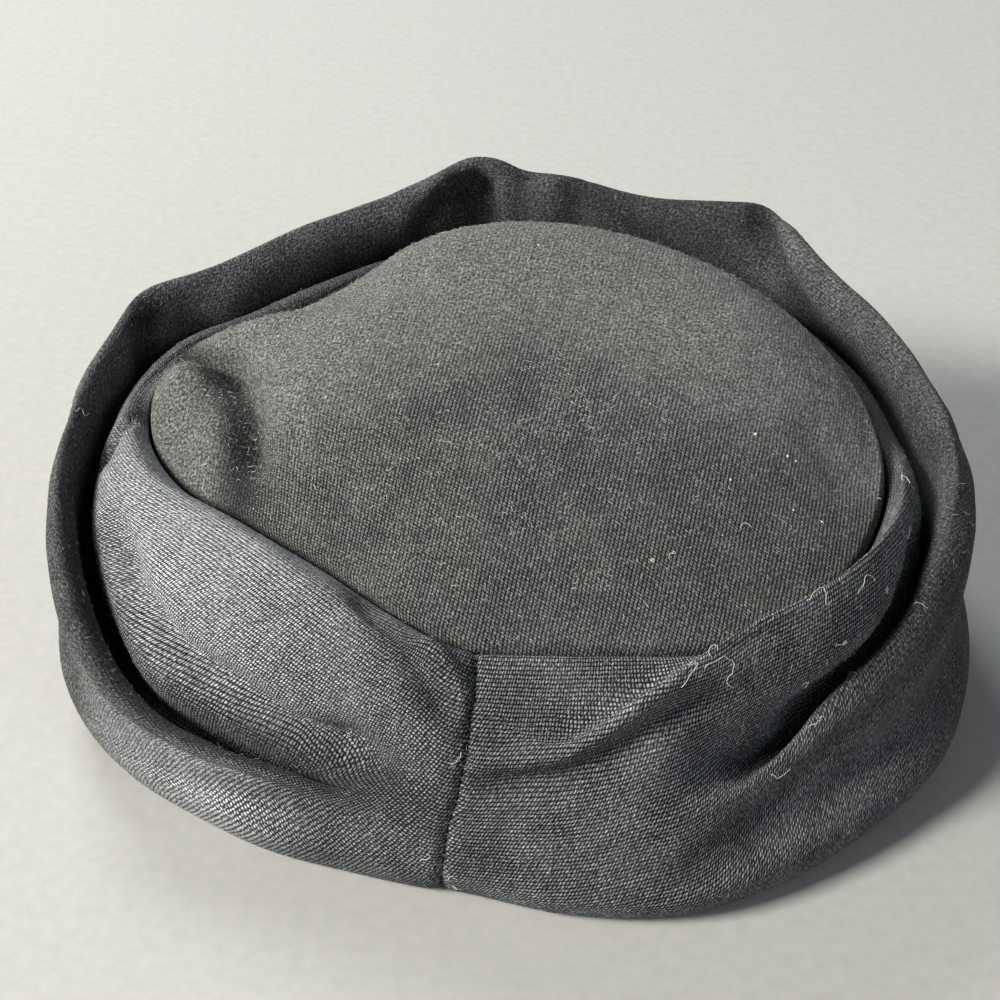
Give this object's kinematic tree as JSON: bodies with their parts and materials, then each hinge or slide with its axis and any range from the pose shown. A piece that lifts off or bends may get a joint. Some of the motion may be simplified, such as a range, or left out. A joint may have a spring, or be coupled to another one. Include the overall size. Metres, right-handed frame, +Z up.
{
  "type": "slouch hat",
  "caption": "Soft slouch hat of black double-knit jersey: a domed oval tip and a deep side band, folded and slumped, closed by one front seam.",
  "frame": {"origin": "on the table, under the middle of the hat's own box", "axes": "+Z up, -Y towards the band's upright front seam, +X to the right of somebody facing that seam"},
  "size_m": [0.2122, 0.1934, 0.0818],
  "materials": {
    "tip_jersey": "matt knit with short fuzz",
    "band_jersey": "matt knit with short fuzz"
  },
  "bodies": {
    "root": {"crown_tip": "tip_jersey", "side_band": "band_jersey"}
  },
  "joints": []
}
